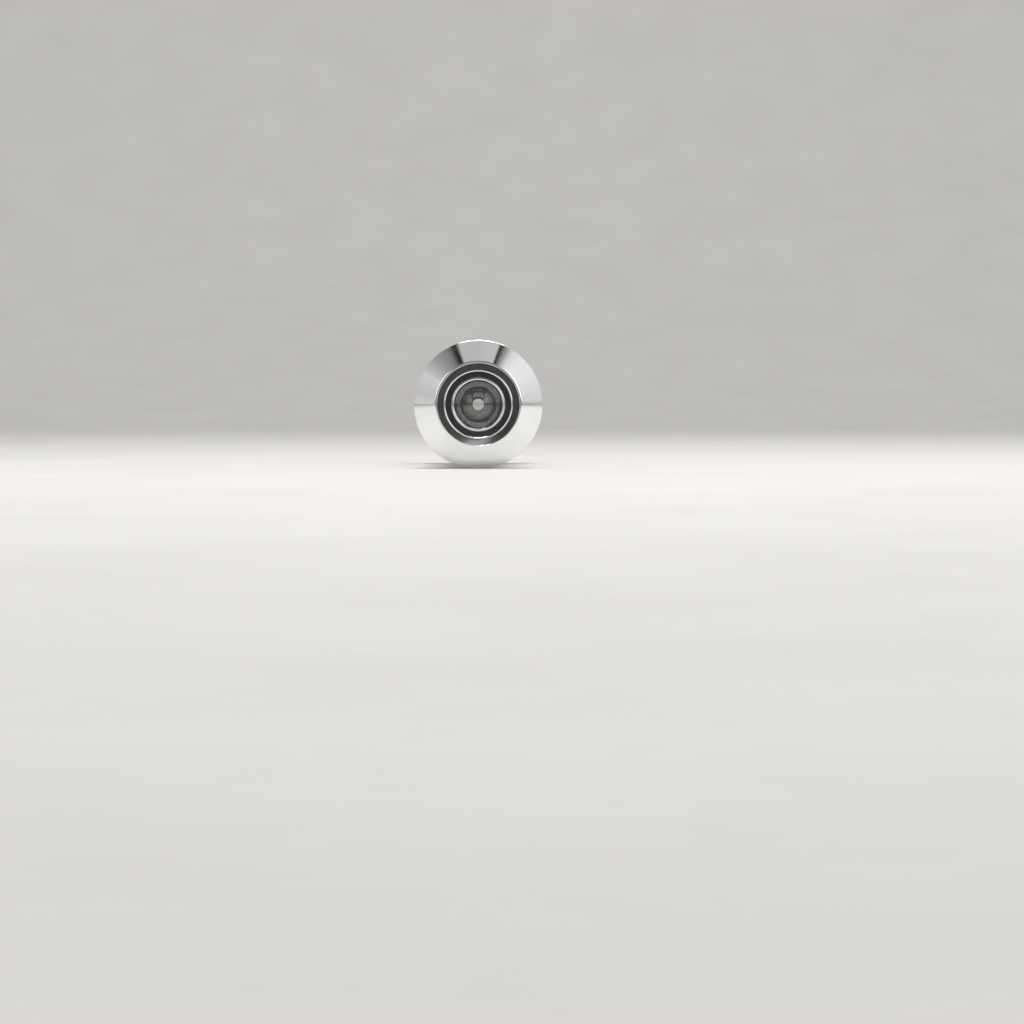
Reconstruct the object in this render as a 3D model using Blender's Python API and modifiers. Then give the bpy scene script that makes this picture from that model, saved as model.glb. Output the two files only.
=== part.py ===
"""Wide-angle door viewer for a 14 mm hole: a flanged front barrel with its lens stack, and a threaded rear
barrel that clamps a round housing with a swinging privacy cover against the inside of the door.

The optical axis is Y. The outside world is at -Y, the room at +Y, and +Z is up. The origin is where the axis
crosses the door's outer face. Sizes are in millimetres here, and are turned into metres where they are used.
Profiles are (radius, y) points. Those of the pieces in the room start from the door's inner face.
"""

import math

import bmesh
import bpy
from mathutils import Matrix, Vector

MM = 0.001
GAP = 0.05  # clearance between two pieces that touch on the real object

# The door, and the thread that clamps it
DOOR_THICKNESS = 44.45
THREAD_PITCH = 1.0
REAR_TUBE_LENGTH = 25.0
REAR_THREAD_TURNS = 19
FRONT_TUBE_LENGTH = 33.0
FRONT_THREAD_TURNS = 6
FRONT_THREAD_OFFSET = 6  # whole pitches from the rear barrel's tip to the first turn inside the front barrel

# Front barrel: a cone-bevelled flange with a stepped recess, on a tube
FLANGE_RADIUS = 13.0
FLANGE_BACK = -0.85
RIM_FRONT = -1.45
LIP_FRONT = -3.75
LIP_OUTER_RADIUS = 8.7
LIP_INNER_RADIUS = 8.34
RECESS_RADIUS = 7.12
RECESS_WALL_BACK = -2.35
RECESS_BOTTOM = -1.2
TUBE_RADIUS = 6.9
TUBE_CHAMFER = 0.15
THREAD_BORE_RADIUS = 6.25
THREAD_CREST_RADIUS = 5.7

# Rings in the recess
FRONT_GASKET_RADII = (7.1, 12.2)
BEZEL_INNER_RADIUS = 6.64
BEZEL_FRONT = -2.3
SHIELD_FRONT = -2.2
SHIELD_INNER_RADIUS = 5.48
RETAINER_RADIUS = 5.9
RETAINER_INNER_RADIUS = 4.92
RETAINER_FRONT = -1.3
RETAINER_BACK = -0.1

# Lens stack, from the outside in
LENS_RADIUS = 5.5
LENS_BORE_RADIUS = 5.95
SPACER_RADIUS = 5.85
OBJECTIVE_VERTEX = -2.55
OBJECTIVE_BACK = 0.9
OBJECTIVE_CURVATURES = (8.0, 5.4)
OBJECTIVE_APERTURE = 3.3
SEAL_THICKNESS = 0.5
FRONT_SPACER_THICKNESS = 1.1
SECOND_THICKNESS = 2.4
SECOND_CURVATURE = 50.0
SECOND_APERTURE = 3.4
REAR_SPACER_THICKNESS = 0.8
THIRD_THICKNESS = 2.05
THIRD_CURVATURE = 60.0
THIRD_APERTURE = 3.2
SHOULDER_RADIUS = 4.3
SHOULDER_THICKNESS = 1.15

SEAL_FRONT = OBJECTIVE_BACK + GAP
FRONT_SPACER_FRONT = SEAL_FRONT + SEAL_THICKNESS + GAP
SECOND_FRONT = FRONT_SPACER_FRONT + FRONT_SPACER_THICKNESS + GAP
REAR_SPACER_FRONT = SECOND_FRONT + SECOND_THICKNESS + GAP
THIRD_FRONT = REAR_SPACER_FRONT + REAR_SPACER_THICKNESS + GAP
SHOULDER_FRONT = THIRD_FRONT + THIRD_THICKNESS + GAP

# Rear barrel
REAR_THREAD_ROOT = 5.5
REAR_THREAD_CREST = 6.1
EYE_BORE_RADIUS = 4.6
REAR_HUB_RADIUS = 6.4
REAR_HUB_FRONT = -1.0
REAR_FLANGE_RADIUS = 8.2
REAR_FLANGE_FRONT = 1.85
REAR_FLANGE_BACK = 3.6
REAR_FLANGE_ROUNDING = 0.45
EYE_POCKET_RADIUS = 5.0
EYE_POCKET_FRONT = 0.2
EYE_POCKET_BACK = 2.9
EYE_MOUTH_RADIUS = 5.6
COIN_SLOT_WIDTH = 1.4
COIN_SLOT_DEPTH = 0.8
FIELD_STOP_RADIUS = 3.0
FIELD_STOP_THICKNESS = 1.0

# Eyepiece
EYE_LENS_RADIUS = 4.8
EYE_LENS_VERTEX = 2.3
EYE_LENS_CURVATURE = 11.0
EYE_RING_RADIUS = 3.6
EYE_RING_BACK = 2.85
EYE_RING_CHAMFER = 0.3
SPANNER_NOTCH = 0.8

# Housing of the cover: a shallow cup
REAR_GASKET_THICKNESS = 0.6
REAR_GASKET_RADII = (7.2, 12.3)
HOUSING_RADIUS = 13.0
HOUSING_INNER_RADIUS = 12.5
HOUSING_BORE_RADIUS = REAR_HUB_RADIUS + 0.2
HOUSING_BASE_FRONT = REAR_GASKET_THICKNESS + GAP
HOUSING_BASE_BACK = 1.45
HOUSING_RIM_BACK = 5.2
HOUSING_CHAMFER = 0.15
SLIP_WASHER_RADIUS = 8.1
SLIP_WASHER_THICKNESS = 0.3

# Swinging cover and its pivot
PIVOT_HEIGHT = 10.2
RIVET_RADIUS = 1.0
RIVET_TAIL_RADIUS = 1.6
RIVET_TAIL_FRONT = 0.7
RIVET_TAIL_BACK = 1.25
RIVET_HEAD_RADIUS = 1.9
RIVET_HEAD_HEIGHT = 0.85
BUSH_RADIUS = 1.7
WASHER_RADIUS = 1.8
WASHER_THICKNESS = 0.18
WASHER_WAVE = 0.07
COVER_HEAD_RADIUS = 2.0
COVER_DISC_RADIUS = 4.4
COVER_FRONT = 4.05
COVER_THICKNESS = 0.7
PAD_RADIUS = 4.2
PAD_THICKNESS = 0.3
KNOB_RADIUS = 1.5
KNOB_WAIST_RADIUS = 1.0
KNOB_SHANK_RADIUS = 0.7
KNOB_BACK = 7.3
STOP_PIN_RADIUS = 0.6
STOP_PIN_DROP = 1.0  # how far along the closed cover's side the pin sits, below the pivot

COVER_BACK = COVER_FRONT + COVER_THICKNESS
RIVET_HEAD_FRONT = COVER_BACK + GAP
# The open cover has reached the housing's wall, and its disc has just cleared the eyepiece.
COVER_SWING = HOUSING_INNER_RADIUS - 2 * GAP - COVER_DISC_RADIUS
COVER_OPEN_ANGLE = 2 * math.asin(COVER_SWING / (2 * PIVOT_HEIGHT))
# Half of the angle between the closed cover's two straight sides
COVER_TAPER = math.asin((COVER_DISC_RADIUS - COVER_HEAD_RADIUS) / PIVOT_HEIGHT)

# Finishes: colour, roughness, metallic, transmission
CHROME = ((0.80, 0.80, 0.81), 0.08, 1.0, 0.0)
STEEL = ((0.62, 0.62, 0.63), 0.25, 1.0, 0.0)
BRASS = ((0.78, 0.60, 0.30), 0.3, 1.0, 0.0)
BLACK = ((0.02, 0.02, 0.022), 0.4, 0.0, 0.0)
RUBBER = ((0.03, 0.03, 0.03), 0.8, 0.0, 0.0)
NYLON = ((0.85, 0.84, 0.80), 0.5, 0.0, 0.0)
FELT = ((0.05, 0.05, 0.055), 0.95, 0.0, 0.0)
GLASS = ((0.95, 0.97, 0.97), 0.0, 0.0, 1.0)

# Sides of a turned piece
ROUND_STEPS = 48
LENS_STEPS = 32
SMALL_STEPS = 24
THREAD_STEPS = 16


def clear_scene():
    for old in list(bpy.data.objects):
        bpy.data.objects.remove(old)


def new_collection(name):
    collection = bpy.data.collections.new(name)
    bpy.context.scene.collection.children.link(collection)
    return collection


def new_material(name, finish):
    """A material with the colour, roughness, metallic value and transmission of a finish."""
    colour, roughness, metallic, transmission = finish
    material = bpy.data.materials.new(name)
    material.use_nodes = True
    shader = material.node_tree.nodes["Principled BSDF"]
    shader.inputs["Base Color"].default_value = (*colour, 1.0)
    shader.inputs["Roughness"].default_value = roughness
    shader.inputs["Metallic"].default_value = metallic
    shader.inputs["Transmission Weight"].default_value = transmission
    return material


def new_empty(name, location, parent=None):
    empty = bpy.data.objects.new(name, None)
    PARTS.objects.link(empty)
    empty.parent = parent
    empty.location = location
    return empty


def new_piece(name, data, finish, parent=None):
    """Puts a mesh or curve in the parts' collection under its name, with a material of its own."""
    piece = bpy.data.objects.new(name, data)
    PARTS.objects.link(piece)
    piece.parent = parent
    data.materials.append(new_material(name, finish))
    return piece


def baked(piece):
    """Replaces a piece's modifiers, or its curve, by the mesh that they make."""
    graph = bpy.context.evaluated_depsgraph_get()
    mesh = bpy.data.meshes.new_from_object(piece.evaluated_get(graph))
    piece.modifiers.clear()
    piece.data = mesh
    return piece


def turned(name, profile, finish, parent=None, steps=ROUND_STEPS):
    """A piece turned about the optical axis. A profile that starts and ends on the axis is left open there."""
    doubled_area = sum(a[0] * b[1] - b[0] * a[1] for a, b in zip(profile, profile[1:] + profile[:1]))
    if doubled_area > 0:
        profile = profile[::-1]
    on_axis = profile[0][0] == 0 and profile[-1][0] == 0
    count = len(profile)
    edges = [(i, (i + 1) % count) for i in range(count - 1 if on_axis else count)]
    mesh = bpy.data.meshes.new(name)
    mesh.from_pydata([(radius * MM, y * MM, 0) for radius, y in profile], edges, [])
    piece = new_piece(name, mesh, finish, parent)
    screw = piece.modifiers.new("Turn", "SCREW")
    screw.axis = "Y"
    screw.steps = screw.render_steps = steps
    screw.use_merge_vertices = True
    screw.merge_threshold = 1e-6
    return piece


def ring(name, radii, front, back, finish, parent=None, steps=ROUND_STEPS):
    """A plain flat ring or sleeve."""
    inner, outer = radii
    profile = [(inner, front), (outer, front), (outer, back), (inner, back)]
    return turned(name, profile, finish, parent, steps)


def arc(centre, radius, start, end, count):
    """Points on an arc about centre, from angle start to angle end."""
    angles = [start + (end - start) * i / count for i in range(count + 1)]
    return [(centre[0] + radius * math.cos(a), centre[1] + radius * math.sin(a)) for a in angles]


def circle(centre, radius):
    return arc(centre, radius, 0, math.tau, SMALL_STEPS)[:-1]


def sag(curvature, radius):
    """How far a sphere of this curvature radius falls away from its vertex at this radius."""
    return curvature - math.sqrt(curvature**2 - radius**2)


def lens_face(vertex, curvature, radius, count=5):
    """Profile points from the axis out to radius. A positive curvature bulges towards the outside world."""
    side = math.copysign(1.0, curvature)
    radii = [radius * i / count for i in range(count + 1)]
    return [(r, vertex + side * sag(abs(curvature), r)) for r in radii]


def box(name, width, depth, height, parent=None):
    """A box about the parent's origin, with its sides along X, Y and Z."""
    mesh = bpy.data.meshes.new(name)
    shape = bmesh.new()
    bmesh.ops.create_cube(shape, size=1.0, matrix=Matrix.Diagonal((width * MM, depth * MM, height * MM, 1)))
    shape.to_mesh(mesh)
    shape.free()
    return new_piece(name, mesh, STEEL, parent)


def thread_ridge(name, root_radius, crest_radius, start, turns, parent=None):
    """One right-handed helical ridge about Y, wide at its root and narrow at its crest, closed at both ends."""
    root_half = 0.31 * THREAD_PITCH
    crest_half = 0.1 * THREAD_PITCH
    section = [
        (root_radius, start - root_half),
        (crest_radius, start - crest_half),
        (crest_radius, start + crest_half),
        (root_radius, start + root_half),
    ]
    mesh = bpy.data.meshes.new(name)
    mesh.from_pydata([(radius * MM, y * MM, 0) for radius, y in section], [(0, 1), (1, 2), (2, 3), (3, 0)], [])
    ridge = new_piece(name, mesh, STEEL, parent)
    screw = ridge.modifiers.new("Thread", "SCREW")
    screw.axis = "Y"
    screw.steps = screw.render_steps = THREAD_STEPS
    screw.screw_offset = THREAD_PITCH * MM
    screw.iterations = turns
    baked(ridge)
    shape = bmesh.new()
    shape.from_mesh(ridge.data)
    bmesh.ops.holes_fill(shape, edges=[edge for edge in shape.edges if edge.is_boundary])
    bmesh.ops.recalc_face_normals(shape, faces=shape.faces)
    shape.to_mesh(ridge.data)
    shape.free()
    return ridge


def combine(piece, tool, operation):
    """Joins tool to the piece with UNION or cuts it away with DIFFERENCE, and puts tool with the cutters."""
    PARTS.objects.unlink(tool)
    CUTTERS.objects.link(tool)
    tool.hide_render = True
    tool.display_type = "WIRE"
    modifier = piece.modifiers.new(operation.title(), "BOOLEAN")
    modifier.operation = operation
    modifier.solver = "EXACT"
    modifier.object = tool


def shade_pieces():
    """Round faces are shaded smooth, and edges over 30 degrees stay sharp."""
    for piece in PARTS.objects:
        if piece.type == "MESH":
            baked(piece)
            piece.data.shade_smooth()
            piece.data.set_sharp_from_angle(angle=math.radians(30))


def make_front_barrel():
    """Flange and tube in one piece, with the stepped recess, the lens bore, its shoulder and the inner thread."""
    rounding = 0.06
    shoulder_back = SHOULDER_FRONT + SHOULDER_THICKNESS
    barrel = turned(
        "front_barrel",
        [
            (FLANGE_RADIUS - TUBE_CHAMFER, FLANGE_BACK),
            (FLANGE_RADIUS, FLANGE_BACK - TUBE_CHAMFER),
            (FLANGE_RADIUS, RIM_FRONT),
            (LIP_OUTER_RADIUS, LIP_FRONT + rounding),
            (LIP_OUTER_RADIUS - 2 * rounding, LIP_FRONT),
            (LIP_INNER_RADIUS + rounding, LIP_FRONT),
            (LIP_INNER_RADIUS, LIP_FRONT + rounding),
            (RECESS_RADIUS, RECESS_WALL_BACK),
            (RECESS_RADIUS, RECESS_BOTTOM),
            (LENS_BORE_RADIUS, RECESS_BOTTOM),
            (LENS_BORE_RADIUS, SHOULDER_FRONT),
            (SHOULDER_RADIUS, SHOULDER_FRONT),
            (SHOULDER_RADIUS, shoulder_back),
            (THREAD_BORE_RADIUS, shoulder_back),
            (THREAD_BORE_RADIUS, FRONT_TUBE_LENGTH - TUBE_CHAMFER),
            (THREAD_BORE_RADIUS + TUBE_CHAMFER, FRONT_TUBE_LENGTH),
            (TUBE_RADIUS - TUBE_CHAMFER, FRONT_TUBE_LENGTH),
            (TUBE_RADIUS, FRONT_TUBE_LENGTH - TUBE_CHAMFER),
            (TUBE_RADIUS, FLANGE_BACK),
        ],
        CHROME,
    )
    # This ridge lies half a pitch away from the rear barrel's, so that each runs in the other's groove.
    rear_tip = DOOR_THICKNESS - REAR_TUBE_LENGTH
    start = rear_tip + (FRONT_THREAD_OFFSET + 0.5) * THREAD_PITCH
    root_radius = (THREAD_BORE_RADIUS + TUBE_RADIUS) / 2
    ridge = thread_ridge("front_thread", root_radius, THREAD_CREST_RADIUS, start, FRONT_THREAD_TURNS)
    combine(barrel, ridge, "UNION")


def make_front_rings():
    """The gasket behind the flange, the bright rings of the recess and the black cone between them."""
    ring("front_gasket", FRONT_GASKET_RADII, FLANGE_BACK + GAP, 0.0, RUBBER)
    seat = RECESS_BOTTOM - GAP
    ring("front_bezel", (BEZEL_INNER_RADIUS, RECESS_RADIUS - GAP), BEZEL_FRONT, seat, CHROME)
    shield_radius = BEZEL_INNER_RADIUS - GAP
    turned(
        "glare_shield",
        [
            (shield_radius, SHIELD_FRONT),
            (shield_radius, seat),
            (SHIELD_INNER_RADIUS, seat),
            (SHIELD_INNER_RADIUS, seat - 0.15),
            (shield_radius - 0.15, SHIELD_FRONT),
        ],
        BLACK,
    )
    # The raised rim passes inside the shield, and the slanted underside bears on the objective's dome.
    rim_radius = SHIELD_INNER_RADIUS - 0.09
    turned(
        "lens_retaining_ring",
        [
            (RETAINER_INNER_RADIUS, RETAINER_FRONT),
            (rim_radius, RETAINER_FRONT),
            (rim_radius, RECESS_BOTTOM + 0.1),
            (RETAINER_RADIUS, RECESS_BOTTOM + 0.1),
            (RETAINER_RADIUS, RETAINER_BACK),
            (LENS_RADIUS + 0.08, RETAINER_BACK),
            (LENS_RADIUS + 0.08, dome_depth(LENS_RADIUS) - 2 * GAP),
            (RETAINER_INNER_RADIUS, dome_depth(RETAINER_INNER_RADIUS) - 2 * GAP),
        ],
        CHROME,
    )


def dome_depth(radius):
    """Where the objective's outer surface lies at this radius."""
    return OBJECTIVE_VERTEX + sag(OBJECTIVE_CURVATURES[0], radius)


def make_objective_lens():
    """Domed meniscus that takes in the wide view."""
    front, back = OBJECTIVE_CURVATURES
    back_vertex = OBJECTIVE_BACK - sag(back, OBJECTIVE_APERTURE)
    turned(
        "objective_lens",
        lens_face(OBJECTIVE_VERTEX, front, LENS_RADIUS, 7)
        + [(LENS_RADIUS, OBJECTIVE_BACK)]
        + lens_face(back_vertex, back, OBJECTIVE_APERTURE, 6)[::-1],
        GLASS,
        steps=LENS_STEPS,
    )


def make_second_lens():
    """Plano-concave element behind the first spacer."""
    back = SECOND_FRONT + SECOND_THICKNESS
    back_vertex = back - sag(SECOND_CURVATURE, SECOND_APERTURE)
    turned(
        "second_lens",
        [(0, SECOND_FRONT), (LENS_RADIUS, SECOND_FRONT), (LENS_RADIUS, back)]
        + lens_face(back_vertex, SECOND_CURVATURE, SECOND_APERTURE)[::-1],
        GLASS,
        steps=LENS_STEPS,
    )


def make_third_lens():
    """Biconcave element against the barrel's shoulder."""
    back = THIRD_FRONT + THIRD_THICKNESS
    hollow = sag(THIRD_CURVATURE, THIRD_APERTURE)
    turned(
        "third_lens",
        lens_face(THIRD_FRONT + hollow, -THIRD_CURVATURE, THIRD_APERTURE)
        + [(LENS_RADIUS, THIRD_FRONT), (LENS_RADIUS, back)]
        + lens_face(back - hollow, THIRD_CURVATURE, THIRD_APERTURE)[::-1],
        GLASS,
        steps=LENS_STEPS,
    )


def make_spacers():
    """The rubber seal behind the objective, and the two black spacers that part the lenses."""
    ring("lens_seal", (4.4, 5.4), SEAL_FRONT, SEAL_FRONT + SEAL_THICKNESS, RUBBER, steps=LENS_STEPS)
    front, back = FRONT_SPACER_FRONT, FRONT_SPACER_FRONT + FRONT_SPACER_THICKNESS
    turned(
        "spacer_ring_front",
        [(4.0, front), (SPACER_RADIUS, front), (SPACER_RADIUS, back), (3.6, back)],
        BLACK,
        steps=LENS_STEPS,
    )
    back = REAR_SPACER_FRONT + REAR_SPACER_THICKNESS
    ring("spacer_ring_rear", (3.7, SPACER_RADIUS), REAR_SPACER_FRONT, back, BLACK, steps=LENS_STEPS)


def make_rear_barrel():
    """Threaded tube with the coin-slotted flange that is turned from the room."""
    tip = -REAR_TUBE_LENGTH
    tip_chamfer = 0.2
    barrel = turned(
        "rear_barrel",
        [
            (EYE_BORE_RADIUS, tip),
            (REAR_THREAD_ROOT - tip_chamfer, tip),
            (REAR_THREAD_ROOT, tip + tip_chamfer),
            (REAR_THREAD_ROOT, REAR_HUB_FRONT - tip_chamfer),
            (REAR_HUB_RADIUS, REAR_HUB_FRONT),
            (REAR_HUB_RADIUS, REAR_FLANGE_FRONT),
            (REAR_FLANGE_RADIUS, REAR_FLANGE_FRONT),
            *arc(
                (REAR_FLANGE_RADIUS - REAR_FLANGE_ROUNDING, REAR_FLANGE_BACK - REAR_FLANGE_ROUNDING),
                REAR_FLANGE_ROUNDING,
                0,
                math.pi / 2,
                2,
            ),
            (EYE_MOUTH_RADIUS, REAR_FLANGE_BACK),
            (EYE_POCKET_RADIUS, EYE_POCKET_BACK),
            (EYE_POCKET_RADIUS, EYE_POCKET_FRONT),
            (EYE_BORE_RADIUS, EYE_POCKET_FRONT),
        ],
        CHROME,
        ROOM,
        steps=2 * THREAD_STEPS,
    )
    root_radius = REAR_THREAD_ROOT - 0.25
    start = tip + THREAD_PITCH
    ridge = thread_ridge("rear_thread", root_radius, REAR_THREAD_CREST, start, REAR_THREAD_TURNS, ROOM)
    combine(barrel, ridge, "UNION")
    slot = box("coin_slot", COIN_SLOT_WIDTH, 2 * COIN_SLOT_DEPTH, 2 * HOUSING_RADIUS, ROOM)
    slot.location.y = REAR_FLANGE_BACK * MM
    combine(barrel, slot, "DIFFERENCE")


def make_eyepiece():
    """The eye lens, the notched ring that holds it, and the field stop at the tube's far end."""
    turned(
        "eye_lens",
        [(0, EYE_POCKET_FRONT + GAP), (EYE_LENS_RADIUS, EYE_POCKET_FRONT + GAP)]
        + lens_face(EYE_LENS_VERTEX, -EYE_LENS_CURVATURE, EYE_LENS_RADIUS, 6)[::-1],
        GLASS,
        ROOM,
        steps=LENS_STEPS,
    )
    inner_seat = EYE_LENS_VERTEX - sag(EYE_LENS_CURVATURE, EYE_RING_RADIUS) + GAP
    outer_seat = EYE_LENS_VERTEX - sag(EYE_LENS_CURVATURE, EYE_LENS_RADIUS) + GAP
    outer_radius = EYE_POCKET_RADIUS - GAP
    holder = turned(
        "eye_lens_ring",
        [
            (EYE_RING_RADIUS, inner_seat),
            (EYE_RING_RADIUS, EYE_RING_BACK - EYE_RING_CHAMFER),
            (EYE_RING_RADIUS + EYE_RING_CHAMFER, EYE_RING_BACK),
            (outer_radius, EYE_RING_BACK),
            (outer_radius, outer_seat),
            (EYE_LENS_RADIUS, outer_seat),
        ],
        BLACK,
        ROOM,
    )
    notches = box("spanner_notches", 3 * EYE_POCKET_RADIUS, SPANNER_NOTCH, SPANNER_NOTCH, ROOM)
    notches.location.y = EYE_RING_BACK * MM
    combine(holder, notches, "DIFFERENCE")
    stop_radii = (FIELD_STOP_RADIUS, EYE_BORE_RADIUS - GAP)
    stop_front = -REAR_TUBE_LENGTH
    ring("field_stop", stop_radii, stop_front, stop_front + FIELD_STOP_THICKNESS, BLACK, ROOM)


def make_washers():
    """The gasket between the door and the housing, and the washer that the turning flange slides on."""
    ring("rear_gasket", REAR_GASKET_RADII, 0.0, REAR_GASKET_THICKNESS, RUBBER, ROOM)
    front = HOUSING_BASE_BACK + GAP
    radii = (HOUSING_BORE_RADIUS, SLIP_WASHER_RADIUS)
    ring("slip_washer", radii, front, front + SLIP_WASHER_THICKNESS, NYLON, ROOM)


def make_cover_housing():
    """Shallow round cup that the rear flange clamps to the door, with holes for the rivet and the stop pin."""
    fillet = 0.3
    edge = 0.1
    housing = turned(
        "cover_housing",
        [
            (HOUSING_BORE_RADIUS, HOUSING_BASE_FRONT),
            (HOUSING_RADIUS - HOUSING_CHAMFER, HOUSING_BASE_FRONT),
            (HOUSING_RADIUS, HOUSING_BASE_FRONT + HOUSING_CHAMFER),
            (HOUSING_RADIUS, HOUSING_RIM_BACK - edge),
            (HOUSING_RADIUS - edge, HOUSING_RIM_BACK),
            (HOUSING_INNER_RADIUS + edge, HOUSING_RIM_BACK),
            (HOUSING_INNER_RADIUS, HOUSING_RIM_BACK - edge),
            (HOUSING_INNER_RADIUS, HOUSING_BASE_BACK + fillet),
            (HOUSING_INNER_RADIUS - fillet, HOUSING_BASE_BACK),
            (HOUSING_BORE_RADIUS, HOUSING_BASE_BACK),
        ],
        CHROME,
        ROOM,
    )
    # Each cutter starts in front of the base and ends behind it.
    before, after = -1.0, 3.0
    hole_radius = RIVET_RADIUS + GAP
    sink_radius = RIVET_TAIL_RADIUS + 2 * GAP
    sink_profile = [
        (0, before),
        (sink_radius, before),
        (sink_radius, RIVET_TAIL_FRONT + 3 * GAP),
        (hole_radius, RIVET_TAIL_BACK),
        (hole_radius, after),
        (0, after),
    ]
    rivet_hole = turned("rivet_hole", sink_profile, STEEL, ROOM, SMALL_STEPS)
    rivet_hole.location = PIVOT
    combine(housing, baked(rivet_hole), "DIFFERENCE")
    pin_radius = STOP_PIN_RADIUS + GAP
    pin_profile = [(0, before), (pin_radius, before), (pin_radius, after), (0, after)]
    pin_hole = turned("pin_hole", pin_profile, STEEL, ROOM, SMALL_STEPS)
    pin_hole.location = stop_pin_place()
    combine(housing, baked(pin_hole), "DIFFERENCE")


def stop_pin_place():
    """The pin touches the closed cover's straight side."""
    outward = Vector((-math.cos(COVER_TAPER), 0, math.sin(COVER_TAPER)))
    along = Vector((-math.sin(COVER_TAPER), 0, -math.cos(COVER_TAPER)))
    offset = outward * (COVER_HEAD_RADIUS + STOP_PIN_RADIUS + GAP) + along * STOP_PIN_DROP
    return PIVOT + offset * MM


def make_pivot():
    """Rivet, bush and wave washer that carry the cover and give it its friction, and the pin it closes against."""
    dome = 0.25
    rivet = turned(
        "pivot_rivet",
        [
            (0, RIVET_TAIL_FRONT),
            (RIVET_TAIL_RADIUS, RIVET_TAIL_FRONT),
            (RIVET_TAIL_RADIUS, RIVET_TAIL_FRONT + 3 * GAP),
            (RIVET_RADIUS, RIVET_TAIL_BACK),
            (RIVET_RADIUS, RIVET_HEAD_FRONT),
            (RIVET_HEAD_RADIUS, RIVET_HEAD_FRONT),
            (RIVET_HEAD_RADIUS, RIVET_HEAD_FRONT + RIVET_HEAD_HEIGHT - 2 * dome),
            (RIVET_HEAD_RADIUS - dome, RIVET_HEAD_FRONT + RIVET_HEAD_HEIGHT - dome),
            (RIVET_RADIUS, RIVET_HEAD_FRONT + RIVET_HEAD_HEIGHT - GAP),
            (0, RIVET_HEAD_FRONT + RIVET_HEAD_HEIGHT),
        ],
        STEEL,
        ROOM,
        SMALL_STEPS,
    )
    rivet.location = PIVOT
    bush_front = HOUSING_BASE_BACK + GAP
    bush_radii = (RIVET_RADIUS + GAP, BUSH_RADIUS)
    bush = ring("pivot_bush", bush_radii, bush_front, REAR_FLANGE_BACK, BRASS, ROOM, SMALL_STEPS)
    bush.location = PIVOT
    middle = (REAR_FLANGE_BACK + COVER_FRONT) / 2
    washer_radii = (RIVET_RADIUS + 2 * GAP, WASHER_RADIUS)
    half = WASHER_THICKNESS / 2
    washer = ring("wave_washer", washer_radii, middle - half, middle + half, STEEL, ROOM, SMALL_STEPS)
    washer.location = PIVOT
    for vertex in baked(washer).data.vertices:
        vertex.co.y += WASHER_WAVE * MM * math.cos(3 * math.atan2(vertex.co.z, vertex.co.x))
    pin_back = COVER_BACK + 3 * GAP
    tip = 0.2
    pin = turned(
        "stop_pin",
        [
            (0, RIVET_TAIL_FRONT),
            (STOP_PIN_RADIUS, RIVET_TAIL_FRONT),
            (STOP_PIN_RADIUS, pin_back - tip),
            (STOP_PIN_RADIUS - tip, pin_back),
            (0, pin_back),
        ],
        STEEL,
        ROOM,
        SMALL_STEPS,
    )
    pin.location = stop_pin_place()


def make_cover():
    """The swinging cover with its felt pad and knob. They are drawn closed, and their pivot is turned open."""
    pivot = new_empty("cover_pivot", PIVOT, ROOM)
    pivot.rotation_euler.y = -COVER_OPEN_ANGLE
    disc_centre = (0, -PIVOT_HEIGHT)
    head = arc((0, 0), COVER_HEAD_RADIUS, COVER_TAPER, math.pi - COVER_TAPER, 12)
    disc = arc(disc_centre, COVER_DISC_RADIUS, math.pi - COVER_TAPER, math.tau + COVER_TAPER, 28)
    outlines = [head + disc, circle((0, 0), RIVET_RADIUS + 2 * GAP), circle(disc_centre, KNOB_SHANK_RADIUS + GAP)]
    curve = bpy.data.curves.new("privacy_cover", "CURVE")
    curve.dimensions = "2D"
    curve.fill_mode = "BOTH"
    curve.extrude = COVER_THICKNESS / 2 * MM
    for outline in outlines:
        spline = curve.splines.new("POLY")
        spline.points.add(len(outline) - 1)
        for point, (x, z) in zip(spline.points, outline):
            point.co = (x * MM, z * MM, 0, 1)
        spline.use_cyclic_u = True
    cover = new_piece("privacy_cover", curve, CHROME, pivot)
    cover.rotation_euler.x = math.pi / 2
    cover.location.y = (COVER_FRONT + COVER_BACK) / 2 * MM
    pad_back = COVER_FRONT - GAP
    pad_radii = (KNOB_SHANK_RADIUS + 5 * GAP, PAD_RADIUS)
    pad = ring("cover_pad", pad_radii, pad_back - PAD_THICKNESS, pad_back, FELT, pivot, LENS_STEPS)
    knob = turned(
        "cover_knob",
        [
            (0, COVER_FRONT),
            (KNOB_SHANK_RADIUS, COVER_FRONT),
            (KNOB_SHANK_RADIUS, COVER_BACK + GAP),
            (KNOB_RADIUS - 0.2, COVER_BACK + GAP),
            (KNOB_WAIST_RADIUS, COVER_BACK + 0.85),
            (KNOB_RADIUS, KNOB_BACK - 0.7),
            (KNOB_RADIUS - 0.2, KNOB_BACK - 0.2),
            (0, KNOB_BACK),
        ],
        CHROME,
        pivot,
        SMALL_STEPS,
    )
    for piece in (pad, knob):
        piece.location.z = -PIVOT_HEIGHT * MM


clear_scene()
PARTS = new_collection("door_viewer")
CUTTERS = new_collection("cutters")
ROOM = new_empty("door_inner_face", (0, DOOR_THICKNESS * MM, 0))
PIVOT = Vector((0, 0, PIVOT_HEIGHT * MM))

make_front_barrel()
make_front_rings()
make_objective_lens()
make_second_lens()
make_third_lens()
make_spacers()
make_rear_barrel()
make_eyepiece()
make_washers()
make_cover_housing()
make_pivot()
make_cover()
shade_pieces()
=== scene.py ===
"""The looks of a wide-angle door viewer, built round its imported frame.

Profiles are (radius, y, fillet) points in millimetres, turned about Y. Radii, depths and centres come from
the CAD nodes' boxes where a box gives them, and the rest are named below.
"""

import math

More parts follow.
